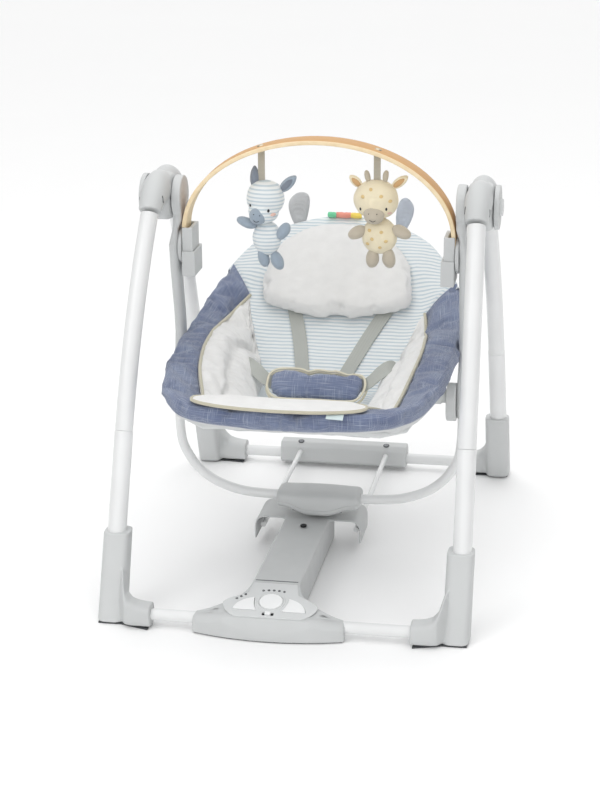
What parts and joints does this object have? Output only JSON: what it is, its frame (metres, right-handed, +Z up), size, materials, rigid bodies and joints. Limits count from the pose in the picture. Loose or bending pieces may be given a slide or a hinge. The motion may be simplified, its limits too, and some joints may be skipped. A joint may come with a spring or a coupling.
{
  "type": "folding electric baby swing",
  "caption": "Folding electric baby swing: padded bucket seat on two swing arms under an A-shaped tube frame, with a drive base in front and a wooden toy bar.",
  "frame": {"origin": "on the floor, at the middle of the footprint, below the hub axis", "axes": "+Z up; +Y runs from the control panel (front) to the rear feet; +X to the right as seen from the front"},
  "size_m": [0.596, 0.828, 0.697],
  "materials": {
    "grey_plastic": "satin",
    "pale_plastic": "satin",
    "white_plastic": "satin",
    "dark_plastic": "matte",
    "foot_rubber": "matte",
    "white_paint": "gloss",
    "circuit_board": "satin",
    "copper": "satin",
    "magnet_steel": "satin",
    "beech": "satin",
    "blue_fabric": "matte",
    "white_fabric": "matte",
    "blue_toy_fabric": "matte",
    "cream_toy_fabric": "matte"
  },
  "bodies": {
    "base": {"base_housing": "grey_plastic", "base_bottom_cover": "dark_plastic", "battery_door": "dark_plastic", "control_panel": "pale_plastic", "circuit_board": "circuit_board", "drive_coil": "copper"},
    "power_button": {"power_button": "white_plastic"},
    "speed_button": {"speed_button": "white_plastic"},
    "volume_button": {"volume_button": "white_plastic"},
    "timer_switch": {"timer_switch": "white_plastic"},
    "front_frame": {"front_foot_right": "grey_plastic", "front_foot_left": "grey_plastic", "front_foot_pad_right": "foot_rubber", "front_foot_pad_left": "foot_rubber", "front_lower_leg_right": "white_paint", "front_lower_leg_left": "white_paint", "front_upper_leg_right": "white_paint", "front_upper_leg_left": "white_paint", "front_hub_half_right": "grey_plastic", "front_hub_half_left": "grey_plastic", "front_floor_tube": "white_paint", "hub_cap_right": "grey_plastic", "hub_cap_left": "grey_plastic"},
    "fold_button_right": {"fold_button_right": "pale_plastic"},
    "fold_button_left": {"fold_button_left": "pale_plastic"},
    "rear_frame": {"rear_foot_right": "grey_plastic", "rear_foot_left": "grey_plastic", "rear_foot_pad_right": "foot_rubber", "rear_foot_pad_left": "foot_rubber", "rear_lower_leg_right": "white_paint", "rear_lower_leg_left": "white_paint", "rear_upper_leg_right": "white_paint", "rear_upper_leg_left": "white_paint", "rear_hub_half_right": "grey_plastic", "rear_hub_half_left": "grey_plastic", "rear_floor_tube": "white_paint"},
    "brace": {"brace_bracket": "grey_plastic", "brace_rod_right": "white_paint", "brace_rod_left": "white_paint"},
    "swing": {"swing_arm_right": "grey_plastic", "swing_arm_left": "grey_plastic", "loop_tube": "white_paint", "weight_housing": "grey_plastic", "weight_cover": "grey_plastic", "magnet": "magnet_steel", "recline_housing_right": "grey_plastic", "recline_housing_left": "grey_plastic", "bar_pivot_right": "grey_plastic", "bar_pivot_left": "grey_plastic"},
    "toy_bar": {"toy_bar_band": "beech", "bar_socket_right": "grey_plastic", "bar_socket_left": "grey_plastic", "bar_cradle_right": "pale_plastic", "bar_cradle_left": "pale_plastic"},
    "donkey": {"donkey_toy": "blue_toy_fabric"},
    "giraffe": {"giraffe_toy": "cream_toy_fabric"},
    "seat": {"seat_pad": "blue_fabric", "seat_frame": "pale_plastic", "head_pillow": "white_fabric", "crotch_pad": "blue_fabric"}
  },
  "joints": [
    {"name": "front_fold", "type": "hinge", "parent": "base", "child": "front_frame", "pos_m": [0, -0.38, 0.02], "axis": [1, 0, 0], "range_deg": [0, 13]},
    {"name": "rear_fold", "type": "hinge", "parent": "front_frame", "child": "rear_frame", "pos_m": [0, 0, 0.597], "axis": [1, 0, 0], "range_deg": [-26, 0]},
    {"name": "brace_fold", "type": "hinge", "parent": "rear_frame", "child": "brace", "pos_m": [0, 0.38, 0.02], "axis": [1, 0, 0], "range_deg": [0, 13]},
    {"name": "swing", "type": "hinge", "parent": "front_frame", "child": "swing", "pos_m": [0, 0, 0.597], "axis": [1, 0, 0], "range_deg": [-16, 16]},
    {"name": "seat_recline", "type": "hinge", "parent": "swing", "child": "seat", "pos_m": [0, -0.015, 0.28], "axis": [1, 0, 0], "range_deg": [0, 10]},
    {"name": "toy_bar_tilt", "type": "hinge", "parent": "swing", "child": "toy_bar", "pos_m": [0, -0.005, 0.517], "axis": [1, 0, 0], "range_deg": [-50, 50]},
    {"name": "donkey_sway", "type": "hinge", "parent": "toy_bar", "child": "donkey", "pos_m": [-0.0945, -0.005, 0.671], "axis": [1, 0, 0], "range_deg": [-25, 25]},
    {"name": "giraffe_sway", "type": "hinge", "parent": "toy_bar", "child": "giraffe", "pos_m": [0.0945, -0.005, 0.671], "axis": [1, 0, 0], "range_deg": [-25, 25]},
    {"name": "power_button_press", "type": "slide", "parent": "base", "child": "power_button", "axis": [0, 0.255, -0.9669], "range_m": [0, 0.0015], "stiffness_N_per_m": 800},
    {"name": "speed_button_press", "type": "slide", "parent": "base", "child": "speed_button", "axis": [0, 0.255, -0.9669], "range_m": [0, 0.0015], "stiffness_N_per_m": 800},
    {"name": "volume_button_press", "type": "slide", "parent": "base", "child": "volume_button", "axis": [0, 0.255, -0.9669], "range_m": [0, 0.0015], "stiffness_N_per_m": 800},
    {"name": "timer_switch_slide", "type": "slide", "parent": "base", "child": "timer_switch", "axis": [1, 0, 0], "range_m": [-0.0035, 0.0035]},
    {"name": "fold_button_right_press", "type": "slide", "parent": "front_frame", "child": "fold_button_right", "axis": [-1, 0, 0], "range_m": [0, 0.004], "stiffness_N_per_m": 600},
    {"name": "fold_button_left_press", "type": "slide", "parent": "front_frame", "child": "fold_button_left", "axis": [1, 0, 0], "range_m": [0, 0.004], "stiffness_N_per_m": 600}
  ],
  "couplings": [
    {"joint": "rear_fold", "follows": "front_fold", "ratio": -2},
    {"joint": "brace_fold", "follows": "front_fold", "ratio": 1}
  ]
}
